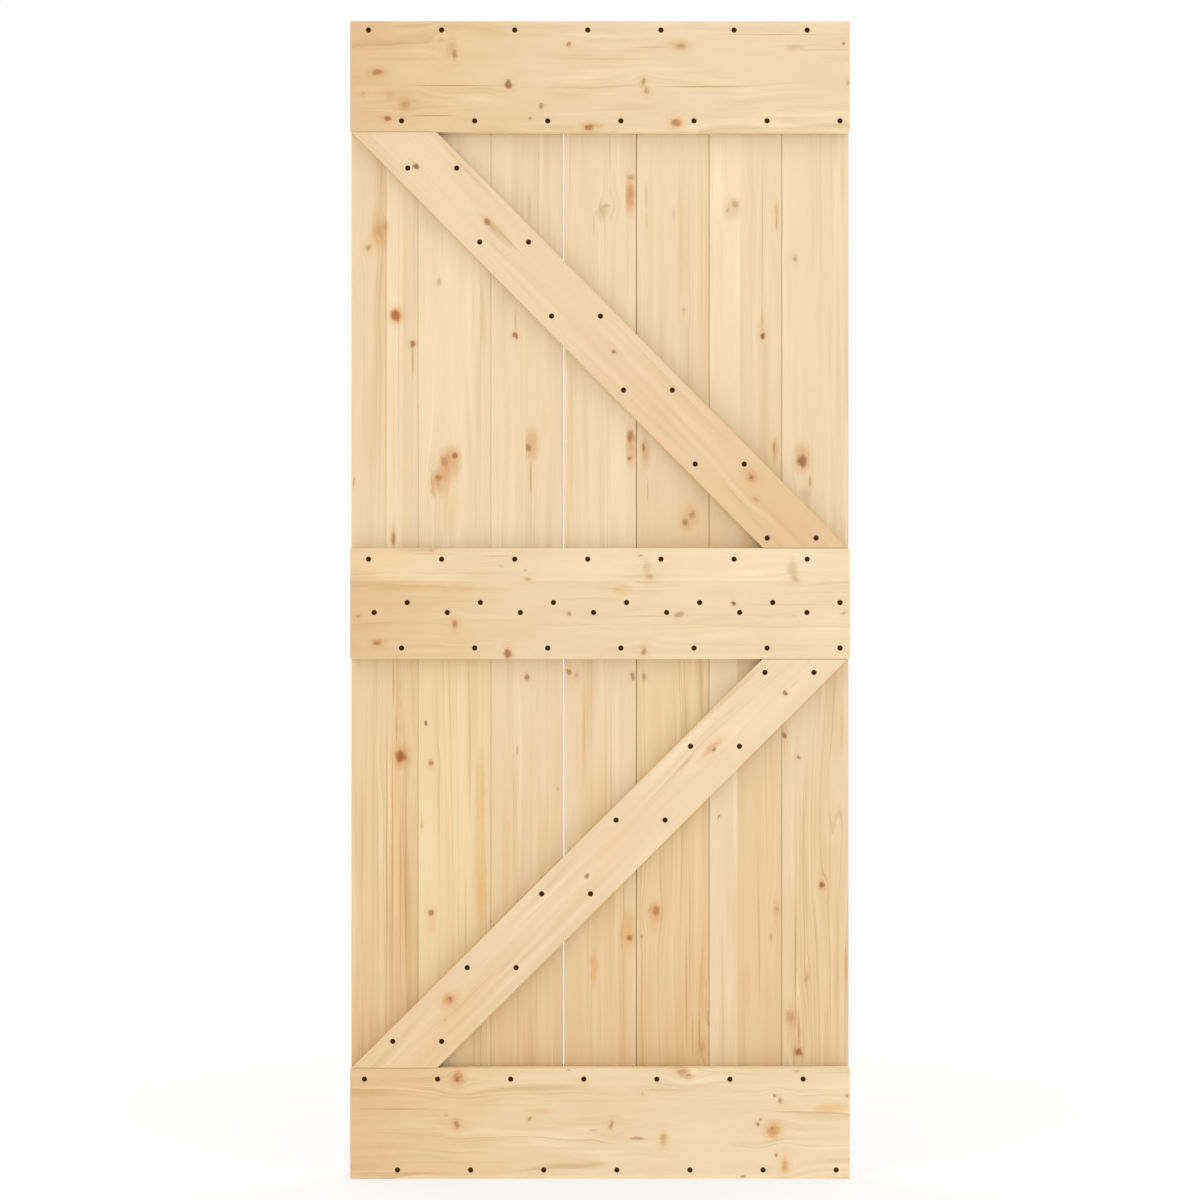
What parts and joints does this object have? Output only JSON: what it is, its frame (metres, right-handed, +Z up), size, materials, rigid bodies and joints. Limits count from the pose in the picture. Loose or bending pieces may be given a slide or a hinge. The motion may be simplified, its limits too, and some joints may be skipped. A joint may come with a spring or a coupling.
{
  "type": "barn door leaf",
  "caption": "Ledged and braced plank barn door leaf in bare knotty pine: upright boards held by wide rails, diagonal braces and dark countersunk screws, hung by its top rail.",
  "frame": {"origin": "under the middle of the leaf, at its lower edge and at half its thickness", "axes": "+Z up the leaf, -Y out of the front that carries the rails and braces, +X to the right seen from the front"},
  "size_m": [0.9, 0.035, 2.085],
  "materials": {
    "pine_boards": "planed bare knotty pine, grain upright",
    "pine_rails": "planed bare knotty pine, grain level",
    "pine_braces": "planed bare knotty pine, grain along the brace",
    "black_screws": "dark satin coating on steel"
  },
  "bodies": {
    "root": {"upper_board_1": "pine_boards", "upper_board_2": "pine_boards", "upper_board_3": "pine_boards", "upper_board_4": "pine_boards", "upper_board_5": "pine_boards", "upper_board_6": "pine_boards", "upper_board_7": "pine_boards", "lower_board_1": "pine_boards", "lower_board_2": "pine_boards", "lower_board_3": "pine_boards", "lower_board_4": "pine_boards", "lower_board_5": "pine_boards", "lower_board_6": "pine_boards", "lower_board_7": "pine_boards", "top_rail": "pine_rails", "middle_rail": "pine_rails", "bottom_rail": "pine_rails", "upper_brace": "pine_braces", "lower_brace": "pine_braces", "top_rail_screws": "black_screws", "middle_rail_screws": "black_screws", "bottom_rail_screws": "black_screws", "upper_brace_screws": "black_screws", "lower_brace_screws": "black_screws"}
  },
  "joints": []
}
